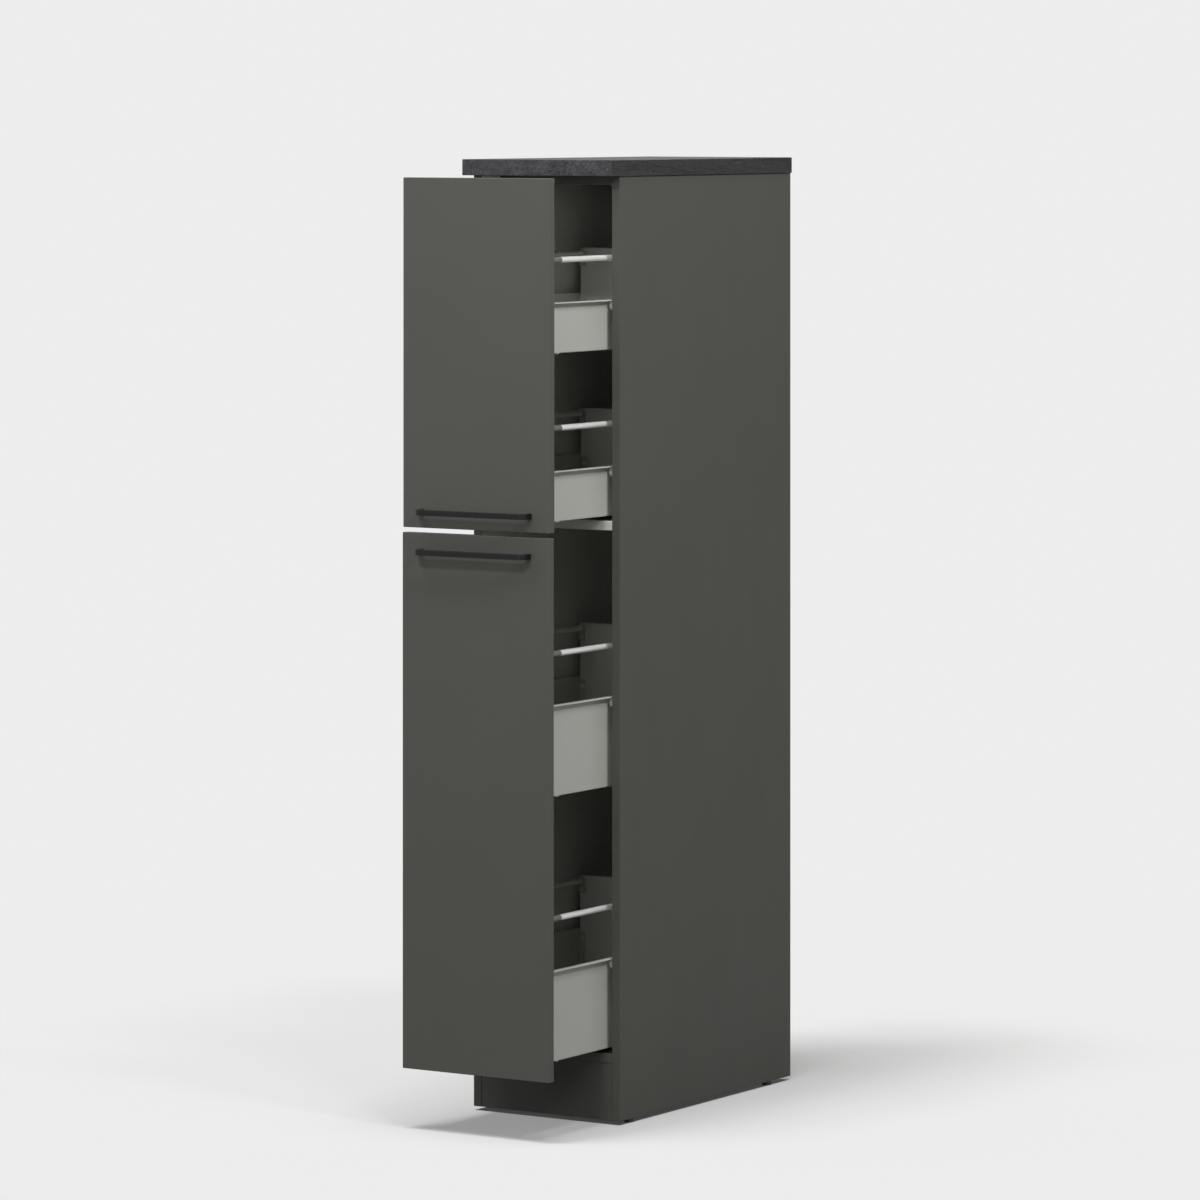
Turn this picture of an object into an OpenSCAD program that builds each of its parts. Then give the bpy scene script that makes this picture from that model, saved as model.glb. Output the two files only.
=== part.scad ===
// Tall pull-out larder cabinet: a narrow carcass with two handled fronts. Each front
// carries two steel-sided trays that run out together on roller runners.
// X points right, Y to the back and Z up, in millimetres. The origin is on the floor, in
// the middle of the ground that the cabinet covers with its pull-outs as far out as drawn.

/* [Carcass] */
// Width over the side panels
cab_w = 300; // [280:1:400]
// Depth of the side panels, front edge to rear edge
cab_d = 572; // [560:1:640]
// Height of the worktop's upper face above the floor
cab_h = 1650; // [1500:1:1850]
// Thickness of the carcass boards
board_t = 16; // [15:0.5:19]
// Height of the board behind the toe space
plinth_h = 98; // [80:1:140]
// How far the plinth board sits back from the carcass front
plinth_recess = 1; // [0:0.5:30]
// Height of the fixed shelf's underside above the floor
shelf_z = 1016; // [1000:1:1040]
// Thickness of the back panel
back_t = 3; // [2.5:0.1:5]
// How far the back panel sits in from the rear edges
back_inset = 12; // [8:1:20]
// Depth of the grooves that hold the back panel
groove_d = 6; // [4:0.5:8]
// Width of the top rails
rail_board_w = 100; // [80:1:120]
// How far the front top rail sits back from the carcass front
rail_board_set = 60; // [20:1:90]

/* [Worktop] */
// Thickness of the worktop
worktop_t = 28; // [22:1:38]
// How far the worktop stands out in front of the carcass
worktop_front = 32; // [24:1:50]
// How far the worktop stands out past each side panel
worktop_side = 3; // [0:0.5:10]

/* [Glides] */
// Height of the floor glides
glide_h = 7; // [5:0.5:12]
// Diameter of a floor glide
glide_d = 18; // [15:0.5:24]
// Distance of the front glides from the carcass front
glide_front = 42; // [20:1:90]
// Distance of the rear glides from the rear edges
glide_rear = 70; // [20:1:120]

/* [Fronts] */
// Thickness of the fronts
front_t = 16; // [15:0.5:22]
// Gap between a front's edge and the outer face of the side panel
front_side_gap = 1.5; // [1:0.1:3]
// Gap between the upper front and the worktop
front_top_gap = 1.5; // [1:0.1:4]
// How far the middle of the gap between the fronts lies below the middle of the shelf
split_drop = 3.5; // [-4:0.5:5]
// Gap between the two fronts
front_gap = 8.5; // [3:0.5:10]
// How far the lower front reaches below the bottom board
front_lap = 2; // [0:0.5:6]
// Space left between a closed front and the carcass edges
front_stand = 2; // [1:0.1:4]

/* [Handles] */
// Length of a handle over its legs
handle_l = 226; // [160:1:250]
// How far a handle stands out from its front
handle_out = 26; // [24:1:40]
// Height of the handle bar
handle_h = 9.5; // [8:0.5:14]
// Thickness of the handle bar, front to back
handle_t = 8; // [7:0.5:12]
// Outer radius of the handle's bends
handle_bend = 14; // [11:0.5:20]
// Height of the upper handle's middle above its front's lower edge
upper_handle_z = 27.5; // [20:0.5:60]
// Distance of the lower handle's middle below its front's upper edge
lower_handle_z = 31.5; // [20:0.5:60]

/* [Pull-outs] */
// How far the upper pull-out is drawn out from closed
upper_out = 201; // [0:1:380]
// How far the lower pull-out is drawn out from closed
lower_out = 203; // [0:1:380]
// Whole travel of a pull-out, closed to fully out
travel = 400; // [384:1:420]
// Space between a tray's lower tray board and the board under it
tray_lift = 8; // [6:0.5:12]
// Rise from the upper pull-out's lower tray to its top tray, as a share of the bay's height
upper_share = 0.482; // [0.45:0.001:0.55]
// Rise from the lower pull-out's lower tray to its top tray, as a share of the bay's height
lower_share = 0.5; // [0.35:0.001:0.6]

/* [Trays] */
// Length of a tray, front to back
tray_l = 500; // [480:1:520]
// Thickness of the steel in the tray sides
steel_t = 1.2; // [1:0.1:1.6]
// Height of the sides of the two upper trays
low_side_h = 86; // [80:1:110]
// Height of the sides of the two lower trays
tall_side_h = 155; // [120:1:170]
// Height of the gallery rails above the sides of the two upper trays
low_rail_rise = 71.5; // [50:0.5:80]
// Height of the gallery rails above the sides of the two lower trays
tall_rail_rise = 85; // [60:0.5:95]
// Width of the flange that the roller carries
flange_w = 9.8; // [9.6:0.1:10.2]
// Height of the lip turned down from that flange
lip_h = 2.6; // [2:0.1:3]
// Width of the steel tabs that are folded inwards
tab_w = 14; // [12:0.5:18]
// How far the tray back stands above the middle of the gallery rails
back_rise = 8.5; // [5.5:0.5:12]

/* [Gallery rails] */
// Outer diameter of a gallery rail
rail_d = 10; // [9:0.5:12]
// Wall of the gallery rail's tube
rail_wall = 1; // [0.8:0.1:1.2]
// Length of the grey sleeve in front of the tube
sleeve_l = 68; // [40:1:90]
// Distance of the rail's middle from the inner face of the tray side
rail_in = 4.8; // [4:0.1:7]

/* [Runners] */
// Gap between a tray side and the side panel
runner_gap = 12.5; // [12.3:0.1:13.5]
// Thickness of the steel in the cabinet runner
runner_t = 1.2; // [1:0.1:1.4]
// Length of the cabinet runner
runner_l = 500; // [490:1:530]
// How far the runner sits back from the carcass front
runner_set = 8; // [4:0.5:12]
// Width of the runner's channel
channel_w = 10; // [9.5:0.1:10.3]
// Diameter of the nylon rollers
roller_d = 17; // [16:0.5:18]
// Width of the nylon rollers
roller_w = 6.4; // [5.6:0.1:6.5]
// Diameter of the roller pins
pin_d = 4; // [3.4:0.1:4.6]
// Running clearance of a roller against steel
run_clear = 0.3; // [0.2:0.05:0.4]
// Radial clearance of a roller on its pin
pin_clear = 0.06; // [0.03:0.01:0.1]
// Distance of the rear roller from the tray's rear end
rear_roller_in = 14; // [12:0.5:20]
// Drop of the stop tab into the channel
stop_drop = 3; // [2:0.5:4]

/* [Fasteners] */
// Diameter of the screws in the boards
screw_d = 4; // [3.5:0.1:4.5]
// Diameter of the screws that hold the runners
runner_screw_d = 5; // [4.5:0.1:6]
// Radial clearance of a screw in its hole
screw_clear = 0.05; // [0.03:0.01:0.1]
// Diameter of the screw heads
head_d = 8; // [7:0.5:8.5]
// Height of the screw heads
head_h = 2; // [1.6:0.1:2.4]
// Diameter of the wall fixing holes
wall_hole_d = 6; // [5:0.5:8]
// Distance between the wall fixing holes
wall_hole_pitch = 160; // [100:1:200]
// Diameter of the cams that pull the boards together
cam_d = 15; // [15:1:18]
// Distance of a cam's middle from the board's end
cam_in = 24; // [20:1:34]

/* [Hidden] */
$fn = 48;
TRAYS = [0, 1, 2, 3];
function name(i, part) = str("tray", i + 1, "_", part);
TRAY_PARTS = ["side_left", "side_right", "bottom", "back", "rails", "rail_fittings", "rear_rollers"];

graphite = [0.31, 0.31, 0.30];
dark_grain = [0.24, 0.24, 0.24];
shade_grey = [0.55, 0.55, 0.53];
steel_grey = [0.78, 0.78, 0.76];
satin_black = [0.10, 0.10, 0.10];
nylon_white = [0.93, 0.93, 0.91];
sleeve_grey = [0.36, 0.36, 0.35];
zinc = [0.70, 0.71, 0.72];
hardboard = [0.28, 0.27, 0.26];

// Carcass levels and faces
carcass_top = cab_h - worktop_t;
inner_x = cab_w / 2 - board_t;
bottom_z = glide_h + plinth_h;
bottom_top = bottom_z + board_t;
shelf_top = shelf_z + board_t;
back_y = cab_d - back_inset - back_t;
front_split = shelf_z + board_t / 2 - split_drop;
groove_clear = 0.2;
rear_rail_z = carcass_top - rail_board_w;

// Fronts, counted from the floor
front_w = cab_w - 2 * front_side_gap;
lower_z0 = bottom_z - front_lap;
lower_z1 = front_split - front_gap / 2;
upper_z0 = front_split + front_gap / 2;
upper_z1 = carcass_top - front_top_gap;
handle_z = [upper_z0 + upper_handle_z, lower_z1 - lower_handle_z];

// Trays, from the top one down; a pull-out is 0 for the upper and 1 for the lower
PULLOUT = [0, 0, 1, 1];
OUT = [upper_out, lower_out];
SIDE_H = [low_side_h, low_side_h, tall_side_h, tall_side_h];
RAIL_RISE = [low_rail_rise, low_rail_rise, tall_rail_rise, tall_rail_rise];
TRAY_Z = [
    shelf_top + tray_lift + upper_share * (carcass_top - shelf_top),
    shelf_top + tray_lift,
    bottom_top + tray_lift + lower_share * (shelf_z - bottom_top),
    bottom_top + tray_lift
];
wall_x = inner_x - runner_gap;
tray_in_x = wall_x - steel_t;
fit_gap = 0.3;
floor_v = steel_t + board_t;
function rail_v(i) = SIDE_H[i] + RAIL_RISE[i];
rail_x = tray_in_x - rail_in;
// The tray back stands behind the sides and the tray board, against their rear tabs
back_board_y = tray_l;

// Roller runner, in a side's own section: u outwards from its face, v up from its foot
roller_r = roller_d / 2;
function front_v(i) = SIDE_H[i] - steel_t - run_clear - roller_r;
lip_clear = 0.6;
function channel_top(i) = SIDE_H[i] - lip_h - lip_clear;
function rear_v(i) = channel_top(i) - runner_t - run_clear - roller_r;
function channel_foot(i) = rear_v(i) - roller_r - run_clear - runner_t;
front_roller_y = runner_set + roller_r;
channel_y = runner_set + roller_d + 5;
rear_roller_y = tray_l - rear_roller_in;
shoulder_d = pin_d + 2.4;
rivet_h = 0.6;
side_gap = 0.2;
front_roller_u = 1.5;
rear_roller_u = 2.3;
plate_u = runner_gap - runner_t;
// System holes for the runner screws, counted from the carcass front
first_hole = 37;
hole_step = 32;
RUNNER_HOLES = [for (k = [0, 7, 13]) first_hole + hole_step * k];
runner_head_h = 1.3;
runner_screw_l = 12;

// Fastener lengths
screw_l = 12;
rail_plate_t = 2.5;
spigot_l = 18;
spigot_clear = 0.08;
counterbore_h = 3;
handle_screw_in = 13;
cam_h = 12;
bolt_d = 7;
cam_y = 60;

// Middle of the ground that the whole cabinet covers
front_y = -front_stand - max(upper_out, lower_out) - front_t - handle_out;
mid_y = (cab_d + front_y) / 2;

module in_frame() {
    translate([0, -mid_y, 0])
    children();
}

// Places what belongs to a pull-out: y is then counted back from its front's rear face
module on_pullout(p) {
    in_frame()
    translate([0, -front_stand - OUT[p], 0])
    children();
}

// Draws a right-hand piece, or its mirror image on the left
module on_side(side) {
    mirror([side < 0 ? 1 : 0, 0, 0])
    children();
}

module both_sides() {
    for (side = [-1, 1])
        on_side(side)
        children();
}

// A round bar along X, from x0 to x1
module bar_x(r, x0, x1) {
    translate([x0, 0, 0])
    rotate([0, 90, 0])
    cylinder(r = r, h = x1 - x0);
}

// A round bar along Y, from y0 to y1
module bar_y(r, y0, y1) {
    translate([0, y0, 0])
    rotate([-90, 0, 0])
    cylinder(r = r, h = y1 - y0);
}

// Carcass boards

// Where each pair of cams sits: y, z of the bolt, and 1 for an upright board
CAMS = [
    [cam_y, bottom_z + board_t / 2, 0],
    [back_y - cam_y, bottom_z + board_t / 2, 0],
    [cam_y, shelf_z + board_t / 2, 0],
    [back_y - cam_y, shelf_z + board_t / 2, 0],
    [rail_board_set + rail_board_w / 2, carcass_top - board_t / 2, 0],
    [back_y - board_t / 2, rear_rail_z + rail_board_w / 2, 1]
];

module at_cams(list) {
    for (c = list)
        translate([inner_x, c[0], c[1]])
        rotate([c[2] * 90, 0, 0])
        children();
}

// The pocket and the bolt's bore that a board needs at each end
module cam_cuts() {
    translate([-cam_in, 0, -board_t / 2 - 1])
    cylinder(d = cam_d, h = cam_h + 1.2);
    bar_x(bolt_d / 2 + screw_clear, -cam_in, 1);
}

module cam() {
    difference() {
        translate([-cam_in, 0, -board_t / 2])
        cylinder(r = cam_d / 2 - screw_clear, h = cam_h);
        // Slot that takes the head of the bolt
        translate([-cam_in - 1, -bolt_d / 2 - 0.2, -bolt_d / 2 - 0.2])
        cube([cam_d, bolt_d + 0.4, bolt_d + 0.4]);
        // Cross recess for the driver
        translate([-cam_in, 0, -board_t / 2 + 1])
        for (a = [0, 90])
            rotate([0, 0, a])
            cube([6, 1.2, 2.4], center = true);
    }
}

module cam_bolt() {
    bar_x(bolt_d / 2, -cam_in + 1.5, -cam_in + 4.5);
    bar_x(bolt_d / 2 - 1.5, -cam_in + 4.5, -cam_in + 7.5);
    bar_x(bolt_d / 2, -cam_in + 7.5, 0);
    bar_x(runner_screw_d / 2, 0, 11);
}

module board_with_cams(size, at, cams) {
    difference() {
        translate(at)
        cube(size);
        both_sides()
        at_cams(cams)
        cam_cuts();
    }
}

module side_panel() {
    difference() {
        translate([inner_x, 0, glide_h])
        cube([board_t, cab_d, carcass_top - glide_h]);
        translate([inner_x - 1, back_y - groove_clear, bottom_z])
        cube([groove_d + 1, back_t + 2 * groove_clear, carcass_top]);
        at_cams(CAMS)
        bar_x(runner_screw_d / 2 + screw_clear, -1, 11.5);
        for (i = TRAYS)
            for (y = RUNNER_HOLES)
                translate([inner_x, y, TRAY_Z[i] + rear_v(i)])
                bar_x(runner_screw_d / 2 + screw_clear, -1, runner_screw_l + 0.5);
        for (y = [glide_front, cab_d - glide_rear])
            translate([inner_x + board_t / 2, y, 0])
            cylinder(r = screw_d / 2 + screw_clear, h = glide_h + 12.5);
    }
}

module side_panel_left() {
    color(graphite)
    in_frame()
    on_side(-1)
    side_panel();
}

module side_panel_right() {
    color(graphite)
    in_frame()
    side_panel();
}

module bottom_panel() {
    color(graphite)
    in_frame()
    board_with_cams([2 * inner_x, back_y, board_t], [-inner_x, 0, bottom_z], [CAMS[0], CAMS[1]]);
}

module fixed_shelf() {
    color(shade_grey)
    in_frame()
    board_with_cams([2 * inner_x, back_y, board_t], [-inner_x, 0, shelf_z], [CAMS[2], CAMS[3]]);
}

module top_rail_front() {
    color(graphite)
    in_frame()
    difference() {
        board_with_cams([2 * inner_x, rail_board_w, board_t],
            [-inner_x, rail_board_set, carcass_top - board_t], [CAMS[4]]);
        at_front_worktop_screws()
        translate([0, 0, -board_t - 1])
        cylinder(r = screw_d / 2 + screw_clear, h = board_t + 2);
    }
}

module top_rail_rear() {
    color(graphite)
    in_frame()
    difference() {
        board_with_cams([2 * inner_x, board_t, rail_board_w],
            [-inner_x, back_y - board_t, rear_rail_z], [CAMS[5]]);
        wall_holes();
        at_brackets()
        translate([0, 0, -bracket_drop])
        bar_y(screw_d / 2 + screw_clear, -1, screw_l);
    }
}

// Two holes side by side, for the screws to the wall
wall_hole_rise = 30;
wall_hole_z = rear_rail_z + wall_hole_rise;
module wall_holes() {
    for (side = [-1, 1])
        translate([side * wall_hole_pitch / 2, 0, wall_hole_z])
        bar_y(wall_hole_d / 2, back_y - board_t - 1, cab_d);
}

module back_panel() {
    color(hardboard)
    in_frame()
    difference() {
        translate([-inner_x - groove_d + 0.5, back_y, bottom_z])
        cube([2 * (inner_x + groove_d - 0.5), back_t, carcass_top - bottom_z]);
        wall_holes();
    }
}

module plinth_board() {
    color(graphite)
    in_frame()
    translate([-inner_x, plinth_recess, glide_h])
    cube([2 * inner_x, board_t, plinth_h]);
}

module at_front_worktop_screws() {
    for (side = [-1, 1])
        translate([side * inner_x / 2, rail_board_set + rail_board_w / 2, carcass_top])
        children();
}

// Steel angles hold the worktop to the upright rear rail
bracket_w = 20;
bracket_leg = 28;
bracket_t = 2;
bracket_drop = 18;
module at_brackets() {
    for (side = [-1, 1])
        translate([side * inner_x / 2, back_y - board_t, carcass_top])
        children();
}

module worktop_bracket() {
    difference() {
        translate([-bracket_w / 2, -bracket_leg, -bracket_leg])
        cube([bracket_w, bracket_leg, bracket_leg]);
        translate([-bracket_w / 2 - 1, -bracket_leg - 1, -bracket_leg - 1])
        cube([bracket_w + 2, bracket_leg + 1 - bracket_t, bracket_leg + 1 - bracket_t]);
        translate([0, 0, -bracket_drop])
        bar_y(screw_d / 2 + screw_clear, -bracket_t - 1, 1);
        translate([0, -bracket_drop, -bracket_t - 1])
        cylinder(r = screw_d / 2 + screw_clear, h = bracket_t + 2);
    }
}

module worktop_brackets() {
    color(zinc)
    in_frame()
    at_brackets()
    worktop_bracket();
}

// A round-headed screw that points up, with the underside of its head at z = 0
module screw(d, l, hd, hh) {
    cylinder(r = d / 2, h = l);
    rotate([180, 0, 0])
    rotate_extrude()
    polygon([[0, 0], [hd / 2, 0], [hd / 2, 0.35 * hh], [0.72 * hd / 2, hh], [0, hh]]);
}

worktop_screw_in = 18;
module worktop_screws() {
    color(zinc)
    in_frame()
    union() {
        at_front_worktop_screws()
        translate([0, 0, -board_t])
        screw(screw_d, board_t + worktop_screw_in, head_d, head_h);
        at_brackets()
        translate([0, -bracket_drop, -bracket_t])
        screw(screw_d, bracket_t + worktop_screw_in, head_d, head_h);
        at_brackets()
        translate([0, -bracket_t, -bracket_drop])
        rotate([-90, 0, 0])
        screw(screw_d, bracket_t + screw_l - 1, head_d, head_h);
    }
}

module worktop() {
    color(dark_grain)
    in_frame()
    difference() {
        translate([-cab_w / 2 - worktop_side, -worktop_front, carcass_top])
        cube([cab_w + 2 * worktop_side, cab_d + worktop_front, worktop_t]);
        at_front_worktop_screws()
        translate([0, 0, -1])
        cylinder(r = screw_d / 2 + screw_clear, h = worktop_screw_in + 1.5);
        at_brackets()
        translate([0, -bracket_drop, -1])
        cylinder(r = screw_d / 2 + screw_clear, h = worktop_screw_in + 1.5);
    }
}

// A glide is a disc with a bevelled foot and a pin that is pushed into the panel's edge
module glide() {
    rotate_extrude()
    polygon([
        [0, 0], [glide_d / 2 - 1.5, 0], [glide_d / 2, 1.5], [glide_d / 2, glide_h],
        [screw_d / 2, glide_h], [screw_d / 2, glide_h + 12], [0, glide_h + 12]
    ]);
}

module floor_glides() {
    color(satin_black)
    in_frame()
    both_sides()
    for (y = [glide_front, cab_d - glide_rear])
        translate([inner_x + board_t / 2, y, 0])
        glide();
}

module cam_locks() {
    color(zinc)
    in_frame()
    both_sides()
    at_cams(CAMS)
    cam();
}

module cam_bolts() {
    color(zinc)
    in_frame()
    both_sides()
    at_cams(CAMS)
    cam_bolt();
}

// Roller runners on the side panels

module at_section(i) {
    translate([wall_x, 0, TRAY_Z[i]])
    children();
}

// The rear roller stops against this tab when the pull-out is fully out
stop_chord = sqrt(pow(roller_r, 2) - pow(roller_r + run_clear - stop_drop, 2));
stop_y = rear_roller_y - front_stand - travel - stop_chord - run_clear;

module runner(i) {
    top = channel_top(i);
    foot = channel_foot(i);
    inner_u = runner_gap - channel_w;
    end_y = runner_set + runner_l;
    difference() {
        union() {
            // Plate against the side panel
            translate([plate_u, runner_set, foot])
            cube([runner_t, runner_l, top - foot]);
            // Lower and upper flange, which start behind the front roller. The rear roller runs
            // on the lower one
            for (v = [foot, top - runner_t])
                translate([inner_u, channel_y, v])
                cube([channel_w, end_y - channel_y, runner_t]);
            // Stop tab, pressed down from the upper flange
            translate([inner_u, stop_y - runner_t, top - runner_t - stop_drop])
            cube([channel_w, runner_t, stop_drop + runner_t / 2]);
        }
        for (y = RUNNER_HOLES)
            translate([0, y, rear_v(i)])
            bar_x(runner_screw_d / 2 + screw_clear, plate_u - 1, runner_gap + 1);
    }
    // Riveted pin of the front roller
    translate([0, front_roller_y, front_v(i)]) {
        bar_x(shoulder_d / 2, front_roller_u + roller_w + side_gap, plate_u + runner_t / 2);
        bar_x(pin_d / 2, front_roller_u - side_gap, plate_u);
        bar_x(shoulder_d / 2, front_roller_u - side_gap - rivet_h, front_roller_u - side_gap);
    }
}

module runners(i) {
    color(steel_grey)
    in_frame()
    both_sides()
    at_section(i)
    runner(i);
}

module runner_screws() {
    color(zinc)
    in_frame()
    both_sides()
    for (i = TRAYS)
        at_section(i)
        for (y = RUNNER_HOLES)
            translate([plate_u, y, rear_v(i)])
            rotate([0, 90, 0])
            screw(runner_screw_d, runner_t + runner_screw_l, head_d + 1, runner_head_h);
}

// A nylon roller around X, from u = 0: a rim and a hub joined by a thinner web
module roller() {
    bore = pin_d / 2 + pin_clear;
    hub = pin_d / 2 + 2;
    rim = roller_r - 1.8;
    rotate([0, 90, 0])
    rotate_extrude()
    polygon([
        [bore, 0], [hub, 0], [hub, 1], [rim, 1], [rim, 0], [roller_r - 0.7, 0],
        [roller_r, 0.7], [roller_r, roller_w - 0.7], [roller_r - 0.7, roller_w],
        [rim, roller_w], [rim, roller_w - 1], [hub, roller_w - 1], [hub, roller_w], [bore, roller_w]
    ]);
}

module front_rollers(i) {
    color(nylon_white)
    in_frame()
    both_sides()
    at_section(i)
    translate([front_roller_u, front_roller_y, front_v(i)])
    roller();
}

module rear_rollers(i) {
    color(nylon_white)
    on_pullout(PULLOUT[i])
    both_sides()
    at_section(i)
    translate([rear_roller_u, rear_roller_y, rear_v(i)])
    roller();
}

// Trays

// Heights of the screws in a side's front and rear tabs, and how far they go into the boards
tab_z0 = 22;
tab_screw_l = 8;
function tab_screws(i) = [tab_z0 + 12, SIDE_H[i] - 18];

// Folded steel side in section: foot under the tray board, wall, flange and lip
module side_section(i) {
    h = SIDE_H[i];
    polygon([
        [-tab_w, 0], [0, 0], [0, h - steel_t], [flange_w - steel_t, h - steel_t],
        [flange_w - steel_t, h - lip_h], [flange_w, h - lip_h], [flange_w, h], [-steel_t, h],
        [-steel_t, steel_t], [-tab_w, steel_t]
    ]);
}

module side_tab(i, y) {
    translate([-tab_w, y, tab_z0])
    cube([tab_w, steel_t, SIDE_H[i] - tab_z0 - 6]);
}

module tray_side(i) {
    difference() {
        union() {
            translate([0, tray_l, 0])
            rotate([90, 0, 0])
            linear_extrude(height = tray_l)
            side_section(i);
            side_tab(i, 0);
            side_tab(i, tray_l - steel_t);
        }
        for (z = tab_screws(i))
            translate([-tab_w / 2 - steel_t / 2, 0, z]) {
                bar_y(screw_d / 2 + screw_clear, -1, steel_t + 1);
                bar_y(screw_d / 2 + screw_clear, tray_l - steel_t - 1, tray_l + 1);
            }
        for (y = FOOT_SCREWS)
            translate([-tab_w / 2 - steel_t / 2, y, -1])
            cylinder(r = screw_d / 2 + screw_clear, h = steel_t + 2);
    }
    // Riveted pin of the rear roller
    translate([0, rear_roller_y, rear_v(i)]) {
        bar_x(shoulder_d / 2, -steel_t / 2, rear_roller_u - side_gap);
        bar_x(pin_d / 2, 0, rear_roller_u + roller_w + side_gap);
        bar_x(shoulder_d / 2, rear_roller_u + roller_w + side_gap,
            rear_roller_u + roller_w + side_gap + rivet_h);
    }
}

module tray_side_of(i, side) {
    color(steel_grey)
    on_pullout(PULLOUT[i])
    on_side(side)
    at_section(i)
    tray_side(i);
}

// Places of the screws that come up through a side's foot into the tray board
foot_screw_in = 60;
FOOT_SCREWS = [foot_screw_in, tray_l / 2, tray_l - foot_screw_in];

module tray_bottom(i) {
    color(graphite)
    on_pullout(PULLOUT[i])
    difference() {
        translate([-tray_in_x + fit_gap, 0.5, TRAY_Z[i] + steel_t])
        cube([2 * (tray_in_x - fit_gap), tray_l - 1, board_t]);
        both_sides()
        at_section(i)
        for (y = FOOT_SCREWS)
            translate([-tab_w / 2 - steel_t / 2, y, 0])
            cylinder(r = screw_d / 2 + screw_clear, h = screw_l + 0.5);
    }
}

module tray_back(i) {
    top = rail_v(i) + back_rise;
    color(graphite)
    on_pullout(PULLOUT[i])
    difference() {
        translate([-tray_in_x + fit_gap, back_board_y, TRAY_Z[i] + steel_t])
        cube([2 * (tray_in_x - fit_gap), board_t, top - steel_t]);
        both_sides()
        at_section(i) {
            for (z = tab_screws(i))
                translate([-tab_w / 2 - steel_t / 2, 0, z])
                bar_y(screw_d / 2 + screw_clear, back_board_y - 1, back_board_y + tab_screw_l + 0.5);
            translate([rail_x - wall_x, 0, rail_v(i) - rail_plate_drop])
            bar_y(screw_d / 2 + screw_clear, back_board_y - 1, back_board_y + tab_screw_l + 0.5);
        }
    }
}

// Gallery rails and the fittings that hold them
rail_plate_w = 14;
rail_plate_drop = 16;
rail_back_y = back_board_y - rail_plate_t - 3.5;

module at_rail(i) {
    translate([rail_x, 0, TRAY_Z[i] + rail_v(i)])
    children();
}

module rails(i) {
    color(nylon_white)
    on_pullout(PULLOUT[i])
    both_sides()
    at_rail(i)
    difference() {
        bar_y(rail_d / 2, sleeve_l, rail_back_y);
        bar_y(rail_d / 2 - rail_wall, sleeve_l - 1, rail_back_y + 1);
    }
}

// A plate screwed down flat, with a round sleeve and a spigot inside the tube
module rail_fitting(sleeve) {
    difference() {
        union() {
            translate([-rail_plate_w / 2, 0, -rail_plate_drop - rail_plate_w / 2])
            cube([rail_plate_w, rail_plate_t, rail_plate_drop + rail_plate_w / 2]);
            bar_y(rail_d / 2 + 0.3, 0, rail_plate_t);
            bar_y(rail_d / 2, rail_plate_t / 2, sleeve);
            bar_y(rail_d / 2 - rail_wall - spigot_clear, sleeve - 1, sleeve + spigot_l);
        }
        translate([0, 0, -rail_plate_drop])
        bar_y(screw_d / 2 + screw_clear, -1, rail_plate_t + 1);
    }
}

module rail_fittings(i) {
    color(sleeve_grey)
    on_pullout(PULLOUT[i])
    both_sides()
    at_rail(i) {
        rail_fitting(sleeve_l);
        translate([0, back_board_y, 0])
        mirror([0, 1, 0])
        rail_fitting(back_board_y - rail_back_y);
    }
}

// Fronts, handles and the screws on a pull-out

FRONT_Z = [[upper_z0, upper_z1], [lower_z0, lower_z1]];
leg_x = handle_l / 2 - handle_t / 2;

module front(p) {
    z = FRONT_Z[p];
    color(graphite)
    on_pullout(p)
    difference() {
        translate([-front_w / 2, -front_t, z[0]])
        cube([front_w, front_t, z[1] - z[0]]);
        both_sides()
        translate([leg_x, 0, handle_z[p]]) {
            bar_y(screw_d / 2 + screw_clear, -front_t - 1, 1);
            bar_y(head_d / 2 + 0.5, -counterbore_h, 1);
        }
        both_sides()
        for (i = TRAYS)
            if (PULLOUT[i] == p) {
                at_section(i)
                for (v = tab_screws(i))
                    translate([-tab_w / 2 - steel_t / 2, 0, v])
                    bar_y(screw_d / 2 + screw_clear, -screw_l - 0.5, 1);
                at_rail(i)
                translate([0, 0, -rail_plate_drop])
                bar_y(screw_d / 2 + screw_clear, -screw_l - 0.5, 1);
            }
    }
}

// Plan of a bow handle: a straight bar, two round bends and two legs
module bow_plan() {
    straight = handle_l / 2 - handle_bend;
    translate([-straight, -handle_out])
    square([2 * straight, handle_t]);
    for (side = [0, 1])
        mirror([side, 0])
        union() {
            translate([handle_l / 2 - handle_t, -handle_out + handle_bend])
            square([handle_t, handle_out - handle_bend]);
            translate([straight, -handle_out + handle_bend])
            intersection() {
                difference() {
                    circle(r = handle_bend);
                    circle(r = handle_bend - handle_t);
                }
                translate([0, -handle_bend])
                square([handle_bend, handle_bend]);
            }
        }
}

module handle(p) {
    color(satin_black)
    on_pullout(p)
    translate([0, -front_t, handle_z[p]])
    difference() {
        translate([0, 0, -handle_h / 2])
        linear_extrude(height = handle_h)
        bow_plan();
        both_sides()
        translate([leg_x, 0, 0])
        bar_y(screw_d / 2 + screw_clear, -handle_screw_in, 1);
    }
}

module handle_screws(p) {
    color(zinc)
    on_pullout(p)
    both_sides()
    translate([leg_x, -counterbore_h, handle_z[p]])
    rotate([90, 0, 0])
    screw(screw_d, front_t - counterbore_h + handle_screw_in - 1, head_d, head_h);
}

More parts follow.
